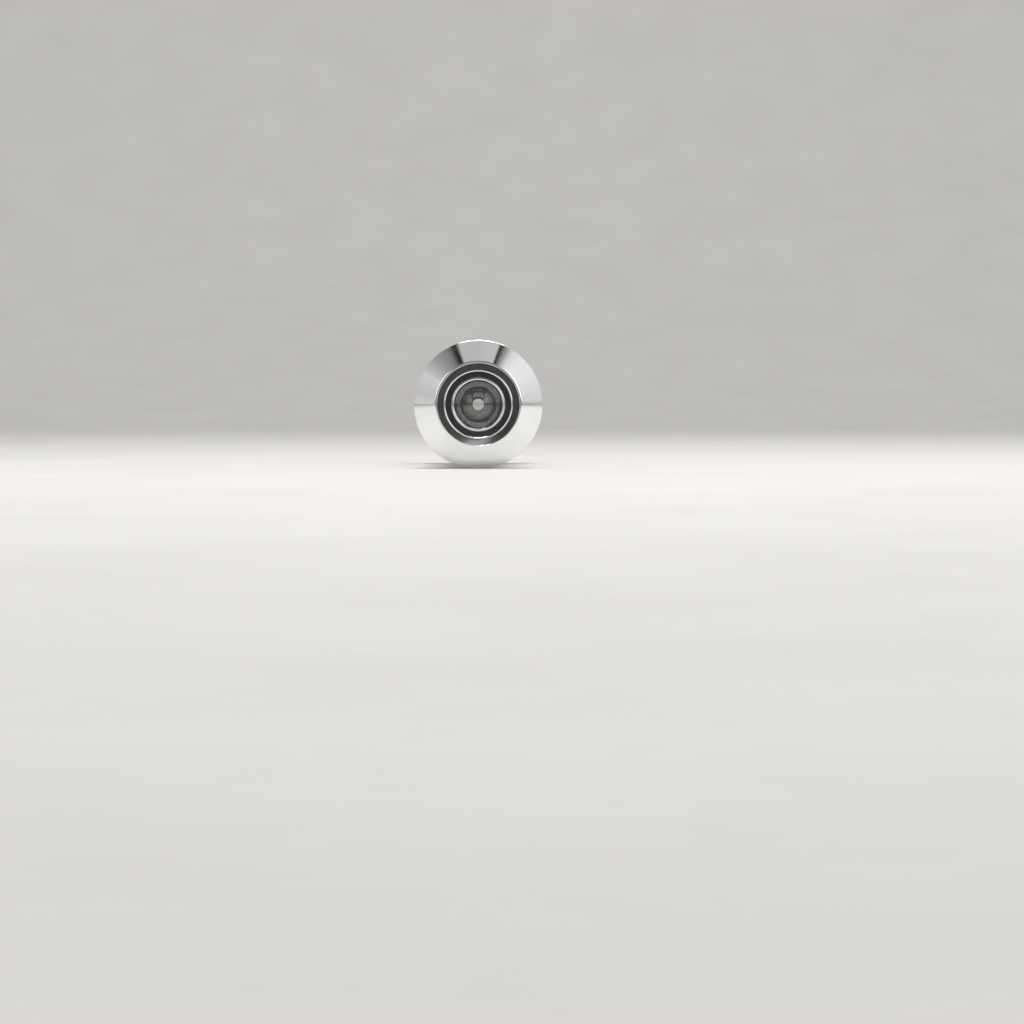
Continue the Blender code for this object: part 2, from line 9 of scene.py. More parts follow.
import bmesh
import bpy
from mathutils import Matrix, Vector, noise


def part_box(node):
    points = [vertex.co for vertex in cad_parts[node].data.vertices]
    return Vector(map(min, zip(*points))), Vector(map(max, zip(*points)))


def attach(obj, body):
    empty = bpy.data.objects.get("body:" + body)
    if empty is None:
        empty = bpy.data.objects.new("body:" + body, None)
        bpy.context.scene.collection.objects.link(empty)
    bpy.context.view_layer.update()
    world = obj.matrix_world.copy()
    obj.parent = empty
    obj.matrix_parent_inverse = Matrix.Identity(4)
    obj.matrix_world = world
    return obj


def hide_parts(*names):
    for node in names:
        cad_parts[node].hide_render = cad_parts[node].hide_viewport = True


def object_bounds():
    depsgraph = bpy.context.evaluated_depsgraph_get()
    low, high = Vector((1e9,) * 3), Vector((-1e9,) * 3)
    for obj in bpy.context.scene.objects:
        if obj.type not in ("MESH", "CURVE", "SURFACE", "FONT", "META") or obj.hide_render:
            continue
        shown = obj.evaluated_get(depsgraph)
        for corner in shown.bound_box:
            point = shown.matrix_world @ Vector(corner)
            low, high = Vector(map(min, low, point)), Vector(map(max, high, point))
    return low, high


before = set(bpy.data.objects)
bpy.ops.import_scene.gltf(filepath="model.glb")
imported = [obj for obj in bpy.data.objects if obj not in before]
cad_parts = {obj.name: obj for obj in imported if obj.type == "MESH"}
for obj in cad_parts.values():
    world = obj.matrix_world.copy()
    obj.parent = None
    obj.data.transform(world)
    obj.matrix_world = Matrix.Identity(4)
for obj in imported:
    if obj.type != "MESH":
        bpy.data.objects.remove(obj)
CAD_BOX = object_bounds()

MM = 0.001
GAP = 0.05  # what the CAD leaves between two seated pieces


# ---------------------------------------------------------------- sizes from the frame

def span(node):
    """Outer radius, front y and back y of a round node, in millimetres."""
    low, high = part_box(node)
    return (high.x - low.x) / 2 / MM, low.y / MM, high.y / MM


def centre_of(node):
    """(x, z) of a node's middle, in metres."""
    low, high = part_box(node)
    return (low.x + high.x) / 2, (low.z + high.z) / 2


FLANGE_RADIUS, LIP_FRONT, TUBE_BACK = span("front_barrel")
GASKET_RADIUS, GASKET_FRONT, GASKET_BACK = span("front_gasket")
BEZEL_RADIUS, BEZEL_FRONT, BEZEL_BACK = span("front_bezel")
SHIELD_RADIUS, SHIELD_FRONT, SHIELD_BACK = span("glare_shield")
RETAINER_RADIUS, RETAINER_FRONT, RETAINER_BACK = span("lens_retaining_ring")
LENS_RADIUS, LENS_FRONT, LENS_BACK = span("objective_lens")
THIRD_BACK = span("third_lens")[2]
REAR_FLANGE_RADIUS, REAR_TIP, REAR_FLANGE_BACK = span("rear_barrel")
EYE_LENS_RADIUS, EYE_LENS_FRONT, EYE_LENS_BACK = span("eye_lens")
EYE_RING_RADIUS, EYE_RING_BACK = span("eye_lens_ring")[::2]
HOUSING_RADIUS, HOUSING_FRONT, HOUSING_BACK = span("cover_housing")
SLIP_RADIUS, SLIP_FRONT, SLIP_BACK = span("slip_washer")
DOOR_BACK = span("rear_gasket")[1]
RIVET_SINK_BACK = DOOR_BACK + 1.25

# The cover, from its pivot to its knob
COVER_PIVOT = Vector(centre_of("pivot_rivet"))
COVER_KNOB = Vector(centre_of("cover_knob"))
COVER_ARM = (COVER_KNOB - COVER_PIVOT).length / MM
COVER_TURN = math.atan2(COVER_PIVOT.x - COVER_KNOB.x, COVER_PIVOT.y - COVER_KNOB.y)

# Front barrel
FLANGE_BACK = GASKET_FRONT - GAP
RIM_HEIGHT = 0.6
LIP_OUTER_RADIUS = 8.72
LIP_INNER_RADIUS = 8.34
RECESS_RADIUS = BEZEL_RADIUS + GAP
RECESS_WALL_BACK = -2.35
RECESS_BOTTOM = BEZEL_BACK + GAP
LENS_BORE_RADIUS = RETAINER_RADIUS + GAP
SHIELD_INNER_RADIUS = 5.48
SHOULDER_RADIUS = 4.3
SHOULDER_THICKNESS = 1.15
THREAD_BORE_RADIUS = 6.25
TUBE_RADIUS = 6.9

# Threads
PITCH = 1.0
REAR_ROOT_RADIUS = 5.5
RIDGE_HEIGHT = 0.58
REAR_TURNS = 19
FRONT_TURNS = 6
FRONT_THREAD_OFFSET = 6.5
CREST_HALF = 0.08
FOOT_HALF = 0.27

# Lens curvatures, as the CAD has them
OBJECTIVE_FRONT_CURVATURE = 8.0
OBJECTIVE_BACK_CURVATURE = 5.4
OBJECTIVE_APERTURE = 3.3
SECOND_CURVATURE = 50.0
SECOND_APERTURE = 3.4
THIRD_CURVATURE = 60.0
THIRD_APERTURE = 3.2
EYE_CURVATURE = 11.0


# ---------------------------------------------------------------- geometry

def rounded(profile, closed, steps=5):
    """Turns (radius, y, fillet) points into plain points. A filleted corner is a short curve, with a point
    just outside each end that keeps the shading of the straight parts flat."""
    points = []
    count = len(profile)
    for i, (radius, y, *fillet) in enumerate(profile):
        here = Vector((radius, y))
        at_end = not closed and i in (0, count - 1)
        if at_end or not fillet or not fillet[0]:
            points.append(here)
            continue
        before = Vector(profile[i - 1][:2]) - here
        after = Vector(profile[(i + 1) % count][:2]) - here
        reach = fillet[0] / math.tan(before.angle(after) / 2)
        start = before.normalized() * min(reach, 0.45 * before.length)
        end = after.normalized() * min(reach, 0.45 * after.length)
        points.append(here + start + before.normalized() * min(0.03, 0.04 * before.length))
        for k in range(steps + 1):
            t = k / steps
            points.append(here + start * (1 - t) ** 2 + end * t**2)
        points.append(here + end + after.normalized() * min(0.03, 0.04 * after.length))
    return points


def thread_rows(wall, first, start, end):
    """Profile points of a threaded wall from start to end, at the crests, flanks and feet of the ridge that
    begins at y = first. They begin a pitch early, because each is carried on by a pitch as it goes round."""
    flank = (CREST_HALF + FOOT_HALF) / 2
    stations = (-FOOT_HALF, -flank, -CREST_HALF, 0.0, CREST_HALF, flank, FOOT_HALF, 0.5)
    before = math.ceil((first - start) / PITCH) + 1
    count = math.ceil((end - start) / PITCH) + 3
    places = [k - before + station for k in range(count) for station in stations]
    return [(wall, first + place * PITCH) for place in places]


def divided(start, end, step):
    """Points from start to end, closer than step."""
    count = max(1, math.ceil((Vector(end) - Vector(start)).length / step))
    return [tuple(Vector(start).lerp(Vector(end), i / count)) for i in range(count + 1)]


def lathe(name, profile, materials, segments=128, relief=None, zone=None):
    """A turned mesh about its own Y axis. relief(radius, y, turn) moves a point, and zone(radius, y) picks
    the material of a face. A profile that starts and ends on the axis closes there."""
    on_axis = profile[0][0] == 0 and profile[-1][0] == 0
    points = rounded(profile, closed=not on_axis)
    vertices = []
    rings = []
    for point in points:
        if point.x == 0:
            rings.append([len(vertices)] * (segments + 1))
            vertices.append((0, point.y * MM, 0))
            continue
        ring = []
        for k in range(segments + 1):
            turn = k / segments
            radius, y = relief(point.x, point.y, turn) if relief else point
            angle = math.tau * turn
            ring.append(len(vertices))
            vertices.append((radius * MM * math.sin(angle), y * MM, radius * MM * math.cos(angle)))
        rings.append(ring)
    faces = []
    zones = []
    last = len(points) - 1 if on_axis else len(points)
    for i in range(last):
        j = (i + 1) % len(points)
        middle = (points[i] + points[j]) / 2
        for k in range(segments):
            corners = [rings[i][k], rings[j][k], rings[j][k + 1], rings[i][k + 1]]
            face = list(dict.fromkeys(corners))
            if len(face) > 2:
                faces.append(face)
                zones.append(zone(middle.x, middle.y) if zone else 0)
    return new_piece(name, vertices, faces, materials, zones)


def new_piece(name, vertices, faces, materials, zones=None):
    mesh = bpy.data.meshes.new(name)
    mesh.from_pydata(vertices, [], faces)
    for material in materials:
        mesh.materials.append(material)
    if zones:
        mesh.polygons.foreach_set("material_index", zones)
    weld(mesh)
    piece = bpy.data.objects.new(name, mesh)
    bpy.context.scene.collection.objects.link(piece)
    turn_faces_out(mesh)
    smooth(mesh)
    return piece


def weld(mesh):
    """Joins the points that lie on each other, such as both ends of a turned mesh's rows."""
    build = bmesh.new()
    build.from_mesh(mesh)
    bmesh.ops.remove_doubles(build, verts=build.verts, dist=0.0001 * MM)
    build.to_mesh(mesh)
    build.free()


def turn_faces_out(mesh):
    """Flips a closed mesh whose faces point in, which its signed volume shows."""
    mesh.calc_loop_triangles()
    corners = [vertex.co for vertex in mesh.vertices]
    volume = 0.0
    for triangle in mesh.loop_triangles:
        a, b, c = (corners[i] for i in triangle.vertices)
        volume += a.dot(b.cross(c))
    if volume < 0:
        mesh.flip_normals()


def smooth(mesh, angle=32):
    mesh.shade_smooth()
    mesh.set_sharp_from_angle(angle=math.radians(angle))


def flat_ring(inner, outer, front, back, fillet):
    return [(inner, front, fillet), (outer, front, fillet), (outer, back, fillet), (inner, back, fillet)]


def sag(curvature, radius):
    """How far a sphere of this curvature radius falls away from its vertex at this radius."""
    return curvature - math.sqrt(curvature**2 - radius**2)


def lens_face(vertex, curvature, radius, count=20):
    """Profile points of a lens face from the axis out to radius. A positive curvature bulges towards -Y."""
    side = math.copysign(1.0, curvature)
    radii = [radius * i / count for i in range(count + 1)]
    return [(r, vertex + side * sag(abs(curvature), r)) for r in radii]


def cut(piece, cutter):
    """Cuts a closed piece out of another, and drops the cutter."""
    modifier = piece.modifiers.new("Cut", "BOOLEAN")
    modifier.operation = "DIFFERENCE"
    modifier.solver = "EXACT"
    modifier.object = cutter
    bake(piece)
    bpy.data.objects.remove(cutter)


def bake(piece):
    """Applies a piece's modifiers, or turns a curve into a mesh."""
    graph = bpy.context.evaluated_depsgraph_get()
    mesh = bpy.data.meshes.new_from_object(piece.evaluated_get(graph))
    if piece.type == "CURVE":
        return mesh
    piece.modifiers.clear()
    piece.data = mesh
    smooth(mesh)
    return mesh


def block(centre, size):
    """A box-shaped cutter. centre and size are in metres."""
    corners = [(x, y, z) for x in (-0.5, 0.5) for y in (-0.5, 0.5) for z in (-0.5, 0.5)]
    vertices = [tuple(c + s * o for c, s, o in zip(centre, size, corner)) for corner in corners]
    faces = [(0, 1, 3, 2), (4, 6, 7, 5), (0, 4, 5, 1), (2, 3, 7, 6), (0, 2, 6, 4), (1, 5, 7, 3)]
    return new_piece("block_cutter", vertices, faces, [])


def drill(piece, centre, sections):
    """Cuts a turned hole, given as (radius, y) sections, about the point centre, an (x, z) in metres."""
    front, back = sections[0][1], sections[-1][1]
    cutter = lathe("drill", [(0, front), *sections, (0, back)], [], segments=48)
    cutter.location = (centre[0], 0, centre[1])
    cut(piece, cutter)


def thread(wall, first, start, end, turns, height):
    """Relief of a right-handed thread on the wall of this radius, which lies between start and end. Its
    ridge begins at y = first above the axis. A negative height makes it stand inwards."""

    def relief(radius, y, turn):
        if abs(radius - wall) > 0.001:
            return radius, y
        y = min(max(y + turn * PITCH, start), end)
        place = (y - first) / PITCH
        ridge = round(place - turn) + turn
        off_ridge = abs(place - ridge) * PITCH
        fade = max(0.0, min(1.0, 3 * ridge, 3 * (turns - ridge)))
        rise = max(0.0, min(1.0, (FOOT_HALF - off_ridge) / (FOOT_HALF - CREST_HALF)))
        return radius + height * rise * rise * (3 - 2 * rise) * fade, y

    return relief


def finish_piece(piece, body, slot, *nodes, centre=(0, 0)):
    """Puts a piece at its centre, lets it ride on its body and stand for its CAD nodes."""
    piece.location.x += centre[0]
    piece.location.z += centre[1]
    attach(piece, body)
    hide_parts(*nodes)
    return piece


# ---------------------------------------------------------------- materials

def new_material(name, metallic=0.0, roughness=0.5, **settings):
    material = bpy.data.materials.new(name)
    material.use_nodes = True
    shader = material.node_tree.nodes["Principled BSDF"]
    shader.inputs["Metallic"].default_value = metallic
    shader.inputs["Roughness"].default_value = roughness
    for socket, value in settings.items():
        shader.inputs[socket.replace("_", " ")].default_value = value
    return material


def connect(owner, value, socket):
    """Links a socket's value to an input, or sets a plain value on it. owner is a material or the world."""
    if isinstance(value, bpy.types.NodeSocket):
        owner.node_tree.links.new(value, socket)
    else:
        socket.default_value = value


def add(owner, kind, settings=None, **inputs):
    """Adds a node. inputs go by the socket's name, with _ for a space."""
    made = owner.node_tree.nodes.new(kind)
    for key, value in (settings or {}).items():
        setattr(made, key, value)
    for key, value in inputs.items():
        connect(owner, value, made.inputs[key.replace("_", " ")])
    return made


def calculate(owner, operation, *values):
    made = add(owner, "ShaderNodeMath", {"operation": operation})
    for value, socket in zip(values, made.inputs):
        connect(owner, value, socket)
    return made.outputs[0]


def ramp(owner, value, low, high, low_result, high_result):
    """Carries low..high over to low_result..high_result, and holds the results outside."""
    made = add(owner, "ShaderNodeMapRange", Value=value)
    for number, socket in zip((low, high, low_result, high_result), made.inputs[1:5]):
        socket.default_value = number
    return made.outputs[0]


def own_coordinates(material):
    return add(material, "ShaderNodeTexCoord").outputs["Object"]


def turned_coordinates(material):
    """(radius, y, 0) about the piece's own axis, on which noise makes rings, as a lathe tool does."""
    parts = add(material, "ShaderNodeSeparateXYZ", Vector=own_coordinates(material)).outputs
    squares = [calculate(material, "MULTIPLY", parts[axis], parts[axis]) for axis in ("X", "Z")]
    radius = calculate(material, "SQRT", calculate(material, "ADD", *squares))
    return add(material, "ShaderNodeCombineXYZ", X=radius, Y=parts["Y"]).outputs[0]


def noise_value(material, vector, feature, detail=3.0, roughness=0.55):
    """Noise from 0 to 1 whose features are about feature millimetres wide."""
    made = add(
        material,
        "ShaderNodeTexNoise",
        Vector=vector,
        Scale=1 / (feature * MM),
        Detail=detail,
        Roughness=roughness,
    )
    return made.outputs["Fac"]


def two_tone(material, value, first, second):
    """Base colour that goes from first to second as value goes from 0.35 to 0.65."""
    made = add(material, "ShaderNodeMix", {"data_type": "RGBA"})
    connect(material, ramp(material, value, 0.35, 0.65, 0.0, 1.0), made.inputs[0])
    connect(material, (*first, 1), made.inputs[6])
    connect(material, (*second, 1), made.inputs[7])
    shade(material, "Base Color", made.outputs[2])


def shade(material, socket, value):
    connect(material, value, material.node_tree.nodes["Principled BSDF"].inputs[socket])


def bump(material, *layers):
    """Adds bump layers, each (height, depth in millimetres)."""
    normal = None
    for height, depth in layers:
        made = add(material, "ShaderNodeBump", Height=height, Distance=depth * MM)
        if normal:
            connect(material, normal, made.inputs["Normal"])
        normal = made.outputs[0]
    shade(material, "Normal", normal)


def chrome():
    """Bright plating: nearly a mirror, with faint haze, fingermarks and hairlines."""
    material = new_material("polished_chrome", metallic=1.0)
    place = own_coordinates(material)
    haze = noise_value(material, place, 4.0, detail=4.0)
    grain = noise_value(material, place, 0.35, detail=2.0)
    two_tone(material, haze, (0.88, 0.885, 0.89), (0.925, 0.925, 0.925))
    smear = calculate(material, "MULTIPLY", haze, grain)
    shade(material, "Roughness", ramp(material, smear, 0.15, 0.4, 0.035, 0.11))
    hairlines = noise_value(material, turned_coordinates(material), 0.03, detail=1.0)
    bump(material, (hairlines, 0.00006), (haze, 0.004))
    return material


def turned_metal(name, first, second, roughness, tool_width, tool_depth, feature=2.5):
    """Metal with the fine rings that a lathe tool leaves."""
    material = new_material(name, metallic=1.0)
    place = own_coordinates(material)
    patches = noise_value(material, place, feature)
    rings = noise_value(material, turned_coordinates(material), tool_width, detail=2.0)
    two_tone(material, patches, first, second)
    low, high = roughness
    shade(material, "Roughness", ramp(material, rings, 0.3, 0.7, low, high))
    bump(material, (rings, tool_depth))
    return material


def plate_metal():
    """The cover's faces, brushed along its length, which lies at COVER_TURN in its own coordinates."""
    material = new_material("brushed_plate", metallic=1.0)
    place = own_coordinates(material)
    straight = add(material, "ShaderNodeMapping", Vector=place, Rotation=(0.0, -COVER_TURN, 0.0)).outputs[0]
    strokes = add(material, "ShaderNodeMapping", Vector=straight, Scale=(1.0, 1.0, 0.03)).outputs[0]
    scratches = noise_value(material, strokes, 0.045, detail=4.0)
    two_tone(material, noise_value(material, strokes, 0.4), (0.60, 0.60, 0.61), (0.74, 0.74, 0.745))
    shade(material, "Roughness", ramp(material, scratches, 0.3, 0.7, 0.16, 0.34))
    bump(material, (scratches, 0.002))
    return material


def blasted_metal():
    """The satin wall of the recess: bead-blasted before plating."""
    material = new_material("blasted_chrome", metallic=1.0)
    place = own_coordinates(material)
    grains = noise_value(material, place, 0.14, detail=4.0, roughness=0.65)
    two_tone(material, grains, (0.065, 0.065, 0.067), (0.19, 0.19, 0.19))
    shade(material, "Roughness", ramp(material, grains, 0.3, 0.7, 0.29, 0.37))
    bump(material, (grains, 0.006))
    return material


def black_metal(name, first, second, roughness):
    """Black anodised or blackened metal with faint tool rings."""
    material = new_material(name, Specular_IOR_Level=0.35)
    place = own_coordinates(material)
    patches = noise_value(material, place, 0.8, detail=4.0)
    rings = noise_value(material, turned_coordinates(material), 0.08)
    two_tone(material, patches, first, second)
    low, high = roughness
    shade(material, "Roughness", ramp(material, rings, 0.3, 0.7, low, high))
    bump(material, (rings, 0.002))
    return material


def rubber():
    material = new_material("black_rubber", Specular_IOR_Level=0.3)
    place = own_coordinates(material)
    dust = noise_value(material, place, 1.6, detail=6.0, roughness=0.7)
    grain = noise_value(material, place, 0.12)
    two_tone(material, dust, (0.018, 0.018, 0.019), (0.045, 0.044, 0.042))
    shade(material, "Roughness", ramp(material, dust, 0.3, 0.7, 0.62, 0.85))
    bump(material, (grain, 0.012))
    return material


def nylon():
    material = new_material("nylon", Subsurface_Weight=0.15)
    place = own_coordinates(material)
    cloud = noise_value(material, place, 1.2, detail=4.0)
    two_tone(material, cloud, (0.78, 0.765, 0.72), (0.86, 0.85, 0.81))
    shade(material, "Roughness", ramp(material, cloud, 0.3, 0.7, 0.38, 0.55))
    bump(material, (noise_value(material, place, 0.1), 0.004))
    return material


def felt():
    material = new_material("felt", Sheen_Weight=0.5, Sheen_Roughness=0.4)
    place = own_coordinates(material)
    stretched = add(material, "ShaderNodeMapping", Vector=place, Scale=(1.0, 3.0, 0.35)).outputs[0]
    fibres = noise_value(material, stretched, 0.12, detail=6.0, roughness=0.75)
    tufts = noise_value(material, place, 0.5, detail=3.0)
    two_tone(material, fibres, (0.016, 0.016, 0.018), (0.085, 0.083, 0.085))
    shade(material, "Roughness", ramp(material, tufts, 0.3, 0.7, 0.85, 1.0))
    bump(material, (fibres, 0.03), (tufts, 0.05))
    return material


def glass():
    """Optical glass. Its polish carries a trace of dust and wiping marks."""
    material = new_material("optical_glass", Transmission_Weight=1.0, IOR=1.52)
    place = own_coordinates(material)
    wipe = noise_value(material, place, 2.0, detail=3.0)
    two_tone(material, wipe, (0.91, 0.925, 0.92), (0.935, 0.945, 0.94))
    shade(material, "Roughness", ramp(material, wipe, 0.4, 0.75, 0.0, 0.02))
    return material


CHROME = chrome()
BLASTED = blasted_metal()
NICKEL = turned_metal("turned_nickel", (0.60, 0.59, 0.57), (0.70, 0.69, 0.67), (0.17, 0.30), 0.09, 0.0012)
BRUSHED = turned_metal("brushed_chrome", (0.66, 0.66, 0.67), (0.76, 0.76, 0.765), (0.20, 0.34), 0.05, 0.0016)
SATIN = turned_metal("satin_nickel", (0.36, 0.355, 0.345), (0.47, 0.465, 0.455), (0.30, 0.42), 0.06, 0.0018)
PLATE = plate_metal()
STEEL = turned_metal("turned_steel", (0.55, 0.55, 0.56), (0.66, 0.66, 0.67), (0.18, 0.32), 0.07, 0.0015, 0.8)
BRASS = turned_metal("turned_brass", (0.66, 0.47, 0.20), (0.80, 0.62, 0.32), (0.20, 0.36), 0.07, 0.0015, 0.8)
BLACK = black_metal("black_anodised", (0.012, 0.012, 0.013), (0.028, 0.028, 0.03), (0.34, 0.5))
BORE_BLACK = black_metal("bore_black", (0.006, 0.006, 0.006), (0.012, 0.012, 0.012), (0.6, 0.8))
RUBBER = rubber()
NYLON = nylon()
FELT = felt()
GLASS = glass()


# ---------------------------------------------------------------- outside the door

def make_front_barrel():
    """Cone-bevelled flange, satin recess wall and plated tube, with the blackened bore and its thread."""
    rim_front = FLANGE_BACK - RIM_HEIGHT
    shoulder_front = THIRD_BACK + GAP
    shoulder_back = shoulder_front + SHOULDER_THICKNESS
    first = REAR_TIP + FRONT_THREAD_OFFSET * PITCH
    thread_start = first - PITCH
    thread_end = first + (FRONT_TURNS + 1) * PITCH
    threaded = thread_rows(THREAD_BORE_RADIUS, first, thread_start, thread_end)
    ridge = thread(THREAD_BORE_RADIUS, first, thread_start, thread_end, FRONT_TURNS, -RIDGE_HEIGHT)
    profile = [
        (FLANGE_RADIUS, FLANGE_BACK, 0.18),
        (FLANGE_RADIUS, rim_front, 0.16),
        (LIP_OUTER_RADIUS, LIP_FRONT, 0.7),
        (LIP_INNER_RADIUS, LIP_FRONT, 0.12),
        (RECESS_RADIUS, RECESS_WALL_BACK, 0.12),
        (RECESS_RADIUS, RECESS_BOTTOM),
        (LENS_BORE_RADIUS, RECESS_BOTTOM),
        (LENS_BORE_RADIUS, shoulder_front),
        (SHOULDER_RADIUS, shoulder_front),
        (SHOULDER_RADIUS, shoulder_back),
        (THREAD_BORE_RADIUS + 0.01, shoulder_back),
        *threaded,
        (THREAD_BORE_RADIUS + 0.01, TUBE_BACK, 0.15),
        (TUBE_RADIUS, TUBE_BACK, 0.2),
        (TUBE_RADIUS, FLANGE_BACK, 0.1),
    ]

    def zone(radius, y):
        if radius < RECESS_RADIUS - GAP and y < TUBE_BACK - 0.2 and radius < THREAD_BORE_RADIUS + 0.1:
            return 2
        if radius < LIP_INNER_RADIUS - 0.02 and y < RECESS_BOTTOM + GAP:
            return 1
        return 3 if y > FLANGE_BACK + GAP else 0

    barrel = lathe(
        "flange_and_tube",
        profile,
        [CHROME, BLASTED, BORE_BLACK, NICKEL],
        segments=192,
        relief=ridge,
        zone=zone,
    )
    finish_piece(barrel, "front", "chrome", "front_barrel")


def make_front_gasket():
    hole = 7.1
    profile = flat_ring(hole, GASKET_RADIUS, GASKET_FRONT, GASKET_BACK, 0.18)
    gasket = lathe("outer_gasket", profile, [RUBBER])
    finish_piece(gasket, "front", "rubber", "front_gasket")


def make_recess_rings():
    """The two bright rings with rounded crests, and the stepped black cone between them."""
    inner = SHIELD_RADIUS + GAP
    bezel = lathe(
        "bezel_ring",
        [
            (inner, BEZEL_FRONT, 0.2),
            (BEZEL_RADIUS, BEZEL_FRONT, 0.2),
            (BEZEL_RADIUS, BEZEL_BACK),
            (inner, BEZEL_BACK),
        ],
        [CHROME],
    )
    finish_piece(bezel, "front", "chrome", "front_bezel")
    steps = 6
    inner = SHIELD_INNER_RADIUS
    stairs_outer = SHIELD_RADIUS - 0.1
    stairs_back = SHIELD_BACK - 0.15
    fall = (stairs_back - SHIELD_FRONT) / steps
    reach = (stairs_outer - inner) / steps
    stairs = []
    for k in range(steps):
        radius = stairs_outer - k * reach
        depth = SHIELD_FRONT + k * fall
        stairs += [(radius, depth, 0.02), (radius - 0.03, depth + fall, 0.02)]
    shield = lathe(
        "stepped_shield",
        [
            (SHIELD_RADIUS, SHIELD_FRONT, 0.03),
            *stairs,
            (inner, stairs_back),
            (inner, SHIELD_BACK),
            (SHIELD_RADIUS, SHIELD_BACK),
        ],
        [BLACK],
    )
    finish_piece(shield, "front", "black_anodised", "glare_shield")
    inner = 4.92
    outer = SHIELD_INNER_RADIUS - 0.09
    dome = LENS_FRONT + sag(OBJECTIVE_FRONT_CURVATURE, inner)
    seat = LENS_FRONT + sag(OBJECTIVE_FRONT_CURVATURE, LENS_RADIUS)
    retainer = lathe(
        "lens_ring",
        [
            (inner, RETAINER_FRONT, 0.22),
            (outer, RETAINER_FRONT, 0.22),
            (outer, RECESS_BOTTOM + 0.1),
            (RETAINER_RADIUS, RECESS_BOTTOM + 0.1),
            (RETAINER_RADIUS, RETAINER_BACK),
            (LENS_RADIUS + 0.08, RETAINER_BACK),
            (LENS_RADIUS + 0.08, seat - 0.1),
            (inner, dome - 0.1),
        ],
        [CHROME],
    )
    finish_piece(retainer, "front", "chrome", "lens_retaining_ring")


def make_front_lenses():
    back_vertex = LENS_BACK - sag(OBJECTIVE_BACK_CURVATURE, OBJECTIVE_APERTURE)
    objective = lathe(
        "objective_glass",
        lens_face(LENS_FRONT, OBJECTIVE_FRONT_CURVATURE, LENS_RADIUS, 36)
        + [(LENS_RADIUS, LENS_BACK, 0.1)]
        + lens_face(back_vertex, OBJECTIVE_BACK_CURVATURE, OBJECTIVE_APERTURE)[::-1],
        [GLASS],
    )
    finish_piece(objective, "front", "glass", "objective_lens")
    radius, front, back = span("second_lens")
    back_vertex = back - sag(SECOND_CURVATURE, SECOND_APERTURE)
    second = lathe(
        "second_glass",
        [(0, front), (radius, front, 0.1), (radius, back, 0.1)]
        + lens_face(back_vertex, SECOND_CURVATURE, SECOND_APERTURE)[::-1],
        [GLASS],
    )
    finish_piece(second, "front", "glass", "second_lens")
    radius, front, back = span("third_lens")
    hollow = sag(THIRD_CURVATURE, THIRD_APERTURE)
    third = lathe(
        "third_glass",
        lens_face(front + hollow, -THIRD_CURVATURE, THIRD_APERTURE)
        + [(radius, front, 0.1), (radius, back, 0.1)]
        + lens_face(back - hollow, THIRD_CURVATURE, THIRD_APERTURE)[::-1],
        [GLASS],
    )
    finish_piece(third, "front", "glass", "third_lens")


def make_spacers():
    seal_hole, spacer_mouth, spacer_throat, rear_hole = 4.4, 4.0, 3.6, 3.7
    radius, front, back = span("lens_seal")
    seal = lathe("seal_ring", flat_ring(seal_hole, radius, front, back, 0.15), [RUBBER])
    finish_piece(seal, "front", "rubber", "lens_seal")
    radius, front, back = span("spacer_ring_front")
    profile = [
        (spacer_mouth, front, 0.05),
        (radius, front, 0.1),
        (radius, back, 0.1),
        (spacer_throat, back, 0.05),
    ]
    finish_piece(lathe("front_spacer", profile, [BLACK]), "front", "black_anodised", "spacer_ring_front")
    radius, front, back = span("spacer_ring_rear")
    spacer = lathe("rear_spacer", flat_ring(rear_hole, radius, front, back, 0.08), [BLACK])
    finish_piece(spacer, "front", "black_anodised", "spacer_ring_rear")


# ---------------------------------------------------------------- in the room

def make_threaded_tube():
    """The long threaded tube with its hub, and the pocket of the eyepiece."""
    bore = 4.6
    hub = 6.4
    hub_front = DOOR_BACK - 1.0
    pocket = EYE_RING_RADIUS + GAP
    pocket_front = EYE_LENS_FRONT - GAP
    flange_front = SLIP_BACK + GAP
    first = REAR_TIP + PITCH
    thread_start = REAR_TIP + 0.3
    thread_end = hub_front - 0.5
    threaded = thread_rows(REAR_ROOT_RADIUS, first, thread_start, thread_end)
    tube = lathe(
        "threaded_tube",
        [
            (bore, REAR_TIP, 0.05),
            (REAR_ROOT_RADIUS - 0.25, REAR_TIP),
            *threaded,
            (hub, hub_front, 0.05),
            (hub, flange_front + 0.1),
            (pocket + 0.2, flange_front + 0.1),
            (pocket, flange_front),
            (pocket, pocket_front),
            (bore, pocket_front),
        ],
        [BRASS, BORE_BLACK],
        segments=96,
        relief=thread(REAR_ROOT_RADIUS, first, thread_start, thread_end, REAR_TURNS, RIDGE_HEIGHT),
        zone=lambda radius, y: int(radius < pocket + 0.1),
    )
    finish_piece(tube, "rear_barrel", "brass", "rear_barrel")


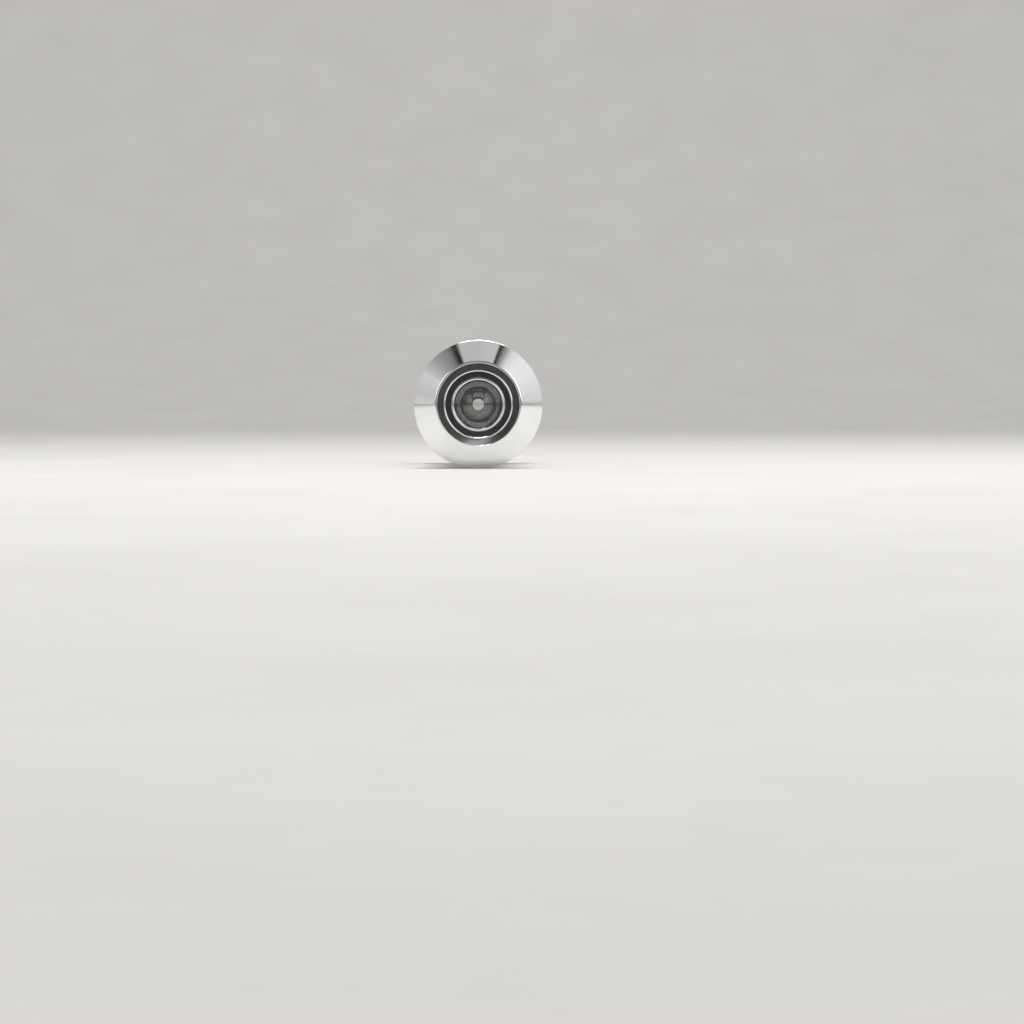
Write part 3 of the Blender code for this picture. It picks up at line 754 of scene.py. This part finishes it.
def make_knurled_flange():
    """The flange that is turned from the room, with a straight knurl and a coin slot across its mouth."""
    front = SLIP_BACK + GAP
    back = REAR_FLANGE_BACK
    pocket = EYE_RING_RADIUS + GAP
    mouth_front = EYE_RING_BACK + GAP
    teeth = 84
    tooth_depth = 0.11
    mouth = 5.6
    knurl_front = front + 0.25
    knurl_back = back - 0.5

    def relief(radius, y, turn):
        if radius < REAR_FLANGE_RADIUS - 0.02 or not knurl_front < y < knurl_back:
            return radius, y
        end = min(1.0, (y - knurl_front) / 0.1, (knurl_back - y) / 0.1)
        return radius - tooth_depth * end * abs(math.sin(math.pi * teeth * turn)), y

    knurled = divided((REAR_FLANGE_RADIUS, knurl_front), (REAR_FLANGE_RADIUS, knurl_back), 0.09)
    flange = lathe(
        "knurled_flange",
        [
            (REAR_FLANGE_RADIUS, front, 0.08),
            *knurled,
            (REAR_FLANGE_RADIUS, back, 0.42),
            (mouth, back, 0.12),
            (pocket, mouth_front, 0.05),
            (pocket, front),
        ],
        [CHROME, BRUSHED],
        segments=teeth * 6,
        relief=relief,
        zone=lambda radius, y: int(y > back - 0.02 or radius < mouth),
    )
    slot_width = 1.4
    slot_depth = 0.8
    size = (slot_width * MM, 2 * slot_depth * MM, 2 * HOUSING_RADIUS * MM)
    cut(flange, block((0, back * MM, 0), size))
    finish_piece(flange, "rear_barrel", "chrome", "rear_barrel")


def make_eyepiece():
    """Eye lens, the notched ring that holds it, and the field stop at the tube's far end."""
    vertex_to_edge = sag(EYE_CURVATURE, EYE_LENS_RADIUS)
    lens = lathe(
        "eye_glass",
        [(0, EYE_LENS_FRONT), (EYE_LENS_RADIUS, EYE_LENS_FRONT, 0.08)]
        + lens_face(EYE_LENS_BACK, -EYE_CURVATURE, EYE_LENS_RADIUS, 28)[::-1],
        [GLASS],
    )
    finish_piece(lens, "rear_barrel", "glass", "eye_lens")
    hole = 3.6
    outer_seat = EYE_LENS_BACK - vertex_to_edge + GAP
    inner_seat = EYE_LENS_BACK - sag(EYE_CURVATURE, hole) + GAP
    ring = lathe(
        "eye_ring",
        [
            (hole, inner_seat, 0.03),
            (hole, EYE_RING_BACK - 0.3, 0.05),
            (hole + 0.35, EYE_RING_BACK, 0.06),
            (EYE_RING_RADIUS, EYE_RING_BACK, 0.08),
            (EYE_RING_RADIUS, outer_seat),
            (EYE_LENS_RADIUS, outer_seat),
        ],
        [BLACK],
    )
    notch = 0.8 * MM
    cut(ring, block((0, EYE_RING_BACK * MM, 0), (3 * EYE_RING_RADIUS * MM, notch, notch)))
    finish_piece(ring, "rear_barrel", "black_anodised", "eye_lens_ring")
    radius, front, back = span("field_stop")
    aperture = 3.0
    chamfer = 0.35
    profile = [
        (aperture, front + chamfer, 0.02),
        (aperture + chamfer, front),
        (radius, front),
        (radius, back),
        (aperture, back),
    ]
    finish_piece(lathe("aperture_ring", profile, [BORE_BLACK]), "rear_barrel", "black_anodised", "field_stop")


def make_washers():
    gasket_hole, washer_hole = 7.2, 6.6
    radius, front, back = span("rear_gasket")
    gasket = lathe("inner_gasket", flat_ring(gasket_hole, radius, front, back, 0.14), [RUBBER])
    finish_piece(gasket, "housing", "rubber", "rear_gasket")
    profile = flat_ring(washer_hole, SLIP_RADIUS, SLIP_FRONT, SLIP_BACK, 0.06)
    washer = lathe("turning_washer", profile, [NYLON])
    finish_piece(washer, "housing", "nylon", "slip_washer")


def make_housing():
    """Shallow cup: mirror-plated outside, with a brushed floor, a rolled rim and the rivet's countersink."""
    bore = 6.6
    inner = 12.5
    base_back = SLIP_FRONT - GAP
    housing = lathe(
        "cover_cup",
        [
            (bore, HOUSING_FRONT, 0.06),
            (HOUSING_RADIUS, HOUSING_FRONT, 0.16),
            (HOUSING_RADIUS, HOUSING_BACK, 0.22),
            (inner, HOUSING_BACK, 0.22),
            (inner, base_back, 0.32),
            (bore, base_back, 0.08),
        ],
        [CHROME, SATIN],
        segments=160,
        zone=lambda radius, y: int(radius < inner - 0.1 and y > HOUSING_FRONT + 0.4),
    )
    outside, inside = DOOR_BACK - 1.0, DOOR_BACK + 3.0
    sink_radius = 1.7
    rivet_hole = span("pivot_bush")[0] - 0.65
    sink = [
        (sink_radius, outside),
        (sink_radius, RIVET_SINK_BACK - 0.4),
        (rivet_hole, RIVET_SINK_BACK),
        (rivet_hole, inside),
    ]
    drill(housing, centre_of("pivot_rivet"), sink)
    pin_hole = span("stop_pin")[0] + GAP
    drill(housing, centre_of("stop_pin"), [(pin_hole, outside), (pin_hole, inside)])
    finish_piece(housing, "housing", "chrome", "cover_housing")


def make_rivet():
    """Domed rivet with a shallow dimple, and its tail set in the countersink."""
    front, back = span("pivot_rivet")[1:]
    head = 1.9
    tail = 1.6
    shank = 1.0
    head_front = span("privacy_cover")[2] + GAP
    rivet = lathe(
        "domed_rivet",
        [
            (0, front),
            (tail, front, 0.05),
            (tail, front + 0.15),
            (shank, RIVET_SINK_BACK),
            (shank, head_front),
            (head, head_front, 0.05),
            (head, head_front + 0.3, 0.1),
            (head - 0.45, back - 0.12, 0.3),
            (0.75, back, 0.15),
            (0.45, back - 0.12, 0.1),
            (0, back - 0.16),
        ],
        [STEEL],
        segments=64,
    )
    finish_piece(rivet, "housing", "steel", "pivot_rivet", centre=centre_of("pivot_rivet"))


def make_pivot_washers():
    """Brass bush, and the wave washer that gives the cover its friction."""
    bush_hole, washer_hole = 1.05, 1.1
    place = centre_of("pivot_rivet")
    radius, front, back = span("pivot_bush")
    bush = lathe("pivot_collar", flat_ring(bush_hole, radius, front, back, 0.12), [BRASS], segments=64)
    finish_piece(bush, "housing", "brass", "pivot_bush", centre=place)
    radius, front, back = span("wave_washer")
    middle = (front + back) / 2
    half = 0.09
    waves = 3
    wave = (back - front) / 2 - half

    def relief(radius, y, turn):
        return radius, y + wave * math.cos(waves * math.tau * (0.25 - turn))

    profile = flat_ring(washer_hole, radius, middle - half, middle + half, 0.04)
    washer = lathe("spring_washer", profile, [STEEL], segments=72, relief=relief)
    finish_piece(washer, "housing", "steel", "wave_washer", centre=place)


def make_stop_pin():
    radius, front, back = span("stop_pin")
    profile = [(0, front), (radius, front, 0.05), (radius, back, 0.25), (0.12, back), (0, back)]
    pin = lathe("cover_stop", profile, [STEEL], segments=48)
    finish_piece(pin, "housing", "steel", "stop_pin", centre=centre_of("stop_pin"))


def cover_outline(arm, head, disc, count=72):
    """Outline of the pear-shaped plate: a small circle at the pivot, a large one at the knob, and straight
    sides."""
    taper = math.asin((disc - head) / arm)
    points = []
    for k in range(count // 3 + 1):
        angle = taper + (math.pi - 2 * taper) * k / (count // 3)
        points.append((head * math.cos(angle), head * math.sin(angle)))
    for k in range(count + 1):
        angle = math.pi - taper + (math.pi + 2 * taper) * k / count
        points.append((disc * math.cos(angle), disc * math.sin(angle) - arm))
    return points


def make_cover():
    """The swinging plate. It is drawn hanging straight down, and then turned to its rest place."""
    head = 2.0
    disc = 4.4
    edge = 0.14
    front, back = span("privacy_cover")[1:]
    pivot_hole, knob_hole = 1.1, 0.75
    holes = ((0.0, pivot_hole), (-COVER_ARM, knob_hole))
    outlines = [cover_outline(COVER_ARM, head, disc)]
    for height, radius in holes:
        turns = [math.tau * k / 48 for k in range(48)]
        outlines.append([(radius * math.cos(a), height + radius * math.sin(a)) for a in turns])
    curve = bpy.data.curves.new("cover_curve", "CURVE")
    curve.dimensions = "2D"
    curve.fill_mode = "BOTH"
    curve.extrude = ((back - front) / 2 - edge) * MM
    curve.bevel_depth = edge * MM
    curve.bevel_resolution = 3
    curve.offset = -edge * MM
    for outline in outlines:
        spline = curve.splines.new("POLY")
        spline.points.add(len(outline) - 1)
        for point, (x, z) in zip(spline.points, outline):
            point.co = (x * MM, z * MM, 0, 1)
        spline.use_cyclic_u = True
    drawn = bpy.data.objects.new("cover_drawn", curve)
    bpy.context.scene.collection.objects.link(drawn)
    mesh = bake(drawn)
    bpy.data.objects.remove(drawn)
    mesh.transform(Matrix.Rotation(COVER_TURN, 4, "Y") @ Matrix.Rotation(math.pi / 2, 4, "X"))
    smooth(mesh)
    mesh.materials.clear()
    mesh.materials.append(CHROME)
    mesh.materials.append(PLATE)
    mesh.polygons.foreach_set("material_index", [int(abs(face.normal.y) > 0.99) for face in mesh.polygons])
    plate = bpy.data.objects.new("cover_plate", mesh)
    bpy.context.scene.collection.objects.link(plate)
    plate.location.y = (front + back) / 2 * MM
    finish_piece(plate, "cover", "chrome", "privacy_cover", centre=COVER_PIVOT)


def make_pad():
    """Felt disc glued behind the cover, with a fuzzy surface and a soft edge."""
    radius, front, back = span("cover_pad")
    inner = 0.95
    fuzz = 0.035
    rings = divided((inner + 0.1, front + fuzz), (radius - 0.15, front + fuzz), 0.08)

    def relief(r, y, turn):
        angle = math.tau * turn
        spot = Vector((r * math.sin(angle), r * math.cos(angle), y))
        rough = noise.noise(spot * 4) * 0.6 + noise.noise(spot * 11) * 0.4
        side = noise.noise(spot * 5 + Vector((7, 3, 1)))
        return min(r + 0.03 * side, radius), min(max(y + fuzz * rough, front), back)

    profile = [*rings, (radius - 0.05, (front + back) / 2, 0.05), (radius - 0.05, back), (inner, back)]
    pad = lathe("felt_pad", profile, [FELT], segments=120, relief=relief)
    finish_piece(pad, "cover", "felt", "cover_pad", centre=centre_of("cover_knob"))


def make_knob():
    """Waisted knob with a dished top, on a shank through the cover."""
    front, back = span("cover_knob")[1:]
    rim = 1.5
    waist = 1.0
    shank = 0.7
    foot = span("privacy_cover")[2] + GAP
    knob = lathe(
        "turned_knob",
        [
            (0, front),
            (shank, front),
            (shank, foot),
            (rim - 0.2, foot, 0.06),
            (rim - 0.15, foot + 0.22, 0.1),
            (waist, foot + 0.85, 0.35),
            (rim, back - 0.75, 0.2),
            (rim, back - 0.2, 0.16),
            (rim - 0.28, back, 0.1),
            (0.7, back - 0.05, 0.3),
            (0, back - 0.16),
        ],
        [CHROME],
        segments=72,
    )
    finish_piece(knob, "cover", "chrome", "cover_knob", centre=centre_of("cover_knob"))


# ---------------------------------------------------------------- studio

def plaster(name, first, second):
    """Material of the floor and the backdrop."""
    material = new_material(name, roughness=0.85)
    place = own_coordinates(material)
    two_tone(material, noise_value(material, place, 35.0, detail=4.0), first, second)
    shade(material, "Roughness", ramp(material, noise_value(material, place, 3.0), 0.3, 0.7, 0.78, 0.92))
    bump(material, (noise_value(material, place, 0.8, detail=5.0), 0.02))
    return material


def make_sweep():
    """Pale floor that curves up into a backdrop, well clear of the object."""
    floor_height = CAD_BOX[0].z
    half_width = 2.4
    front, bend, rise = -2.4, 0.9, 2.4
    bend_radius = 0.8
    path = [(front, 0.0), (bend, 0.0)]
    for k in range(1, 25):
        angle = math.pi / 2 * k / 24
        path.append((bend + bend_radius * math.sin(angle), bend_radius * (1 - math.cos(angle))))
    path.append((bend + bend_radius, rise))
    vertices = []
    for x in (-half_width, half_width):
        vertices += [(x, y, floor_height + z) for y, z in path]
    count = len(path)
    faces = [(k, k + count, k + count + 1, k + 1) for k in range(count - 1)]
    mesh = bpy.data.meshes.new("sweep")
    mesh.from_pydata(vertices, [], faces)
    mesh.shade_smooth()
    mesh.materials.append(plaster("pale_plaster", (0.49, 0.478, 0.458), (0.515, 0.503, 0.483)))
    sweep = bpy.data.objects.new("sweep", mesh)
    bpy.context.scene.collection.objects.link(sweep)


def colour_ramp(owner, value, stops):
    """Grey that goes through the stops, each (place from 0 to 1, grey)."""
    made = add(owner, "ShaderNodeValToRGB", Fac=value)
    elements = made.color_ramp.elements
    for element, (place, grey) in zip(elements, (stops[0], stops[-1])):
        element.position = place
        element.color = (grey, grey, grey, 1)
    for place, grey in stops[1:-1]:
        element = elements.new(place)
        element.color = (grey, grey, grey, 1)
    return made.outputs[0]


def blended(owner, factor, first, second):
    made = add(owner, "ShaderNodeMix", {"data_type": "FLOAT"})
    connect(owner, factor, made.inputs[0])
    connect(owner, first, made.inputs[2])
    connect(owner, second, made.inputs[3])
    return made.outputs[0]


def window(world, across, up, left, right, low, high):
    """1 inside a soft-edged window of the wall in front of the door, and 0 outside it."""
    soft = 0.05
    edges = [
        ramp(world, across, left - soft, left + soft, 0.0, 1.0),
        ramp(world, across, right - soft, right + soft, 1.0, 0.0),
        ramp(world, up, low - soft, low + soft, 0.0, 1.0),
        ramp(world, up, high - soft, high + soft, 1.0, 0.0),
    ]
    inside = edges[0]
    for edge in edges[1:]:
        inside = calculate(world, "MULTIPLY", inside, edge)
    return inside


def make_studio_world():
    """Studio round the object. The light ahead of the viewer goes round its axis by degrees from the right:
    a bright side, a grey middle between two dark gaps, and a dim side that brightens again. Straight ahead
    is a dark wall with two windows, and the room behind the object is soft and pale."""
    bright, pale, grey, dark = 0.86, 0.66, 0.52, 0.025
    window_light, wall_light, backdrop_light = 2.0, 0.22, 0.6
    around = (
        (0, grey * 0.7),
        (3, pale),
        (9, 0.7),
        (30, bright),
        (46, bright),
        (56, 0.74),
        (62, 0.36),
        (68, dark),
        (69.5, dark),
        (70.5, 0.56),
        (90, grey),
        (108, 0.5),
        (110.5, dark),
        (114, dark),
        (119, 0.2),
        (132, 0.33),
        (146, 0.54),
        (150, pale),
        (169, 0.56),
        (180, pale),
    )
    world = bpy.data.worlds.new("studio")
    bpy.context.scene.world = world
    world.use_nodes = True
    direction = add(world, "ShaderNodeTexCoord").outputs["Generated"]
    x, y, z = add(world, "ShaderNodeSeparateXYZ", Vector=direction).outputs
    ahead = calculate(world, "MAXIMUM", calculate(world, "MULTIPLY", y, -1.0), 0.01)
    turn = calculate(world, "MULTIPLY", calculate(world, "ARCTAN2", z, x), 1 / math.pi)
    streaks = colour_ramp(world, turn, [(degrees / 180, value) for degrees, value in around])
    across = calculate(world, "DIVIDE", x, ahead)
    up = calculate(world, "DIVIDE", z, ahead)
    right_window = window(world, across, up, 0.34, 0.85, 0.08, 0.68)
    left_window = window(world, across, up, -0.7, -0.42, 0.08, 0.6)
    windows = calculate(world, "MULTIPLY", calculate(world, "ADD", right_window, left_window), window_light)
    wall = calculate(world, "ADD", windows, wall_light)
    front = blended(world, ramp(world, ahead, 0.70, 0.78, 0.0, 1.0), streaks, wall)
    back = ramp(world, z, 0.0, 1.0, 0.4, 0.7)
    light = blended(world, ramp(world, y, -0.1, 0.1, 0.0, 1.0), front, back)
    seen = add(world, "ShaderNodeLightPath").outputs["Is Camera Ray"]
    background = world.node_tree.nodes["Background"]
    connect(world, blended(world, seen, light, backdrop_light), background.inputs["Color"])


def make_lamp(name, place, aim, size, power):
    light = bpy.data.lights.new(name, "AREA")
    light.shape = "RECTANGLE"
    light.size, light.size_y = size
    light.energy = power
    lamp = bpy.data.objects.new(name, light)
    bpy.context.scene.collection.objects.link(lamp)
    lamp.location = place
    lamp.rotation_euler = (Vector(aim) - lamp.location).to_track_quat("-Z", "Y").to_euler()
    return lamp


def make_lamps():
    """A soft lamp above the object, one that washes the backdrop and one that lifts the floor's shadows."""
    make_lamp("key", (0.06, -0.085, 0.62), (0, 0, 0), (0.56, 0.12), 4.6)
    wash = make_lamp("wash", (0, 0.6, 1.6), (0, 1.6, 0.3), (2.0, 0.5), 13.0)
    fill = make_lamp("fill", (0, -0.9, 0.7), (0, -0.1, 0), (0.8, 0.4), 2.4)
    for lamp in (wash, fill):
        lamp.visible_glossy = False


def make_camera():
    """On the viewer's own axis, and turned a little so that the viewer sits up and left of the middle."""
    distance = 0.576
    right, down = 0.00682, 0.0218
    rim_front = (FLANGE_BACK - RIM_HEIGHT) * MM
    data = bpy.data.cameras.new("camera")
    data.lens = 100
    data.clip_start = 0.01
    data.clip_end = 20
    camera = bpy.data.objects.new("camera", data)
    bpy.context.scene.collection.objects.link(camera)
    camera.location = (0, rim_front - distance, 0)
    aim = Vector((right, distance, -down))
    camera.rotation_euler = aim.to_track_quat("-Z", "Y").to_euler()
    bpy.context.scene.camera = camera


make_front_barrel()
make_front_gasket()
make_recess_rings()
make_front_lenses()
make_spacers()
make_threaded_tube()
make_knurled_flange()
make_eyepiece()
make_washers()
make_housing()
make_rivet()
make_pivot_washers()
make_stop_pin()
make_cover()
make_pad()
make_knob()
bpy.context.scene.view_settings.view_transform = "Standard"
make_sweep()
make_studio_world()
make_lamps()
make_camera()
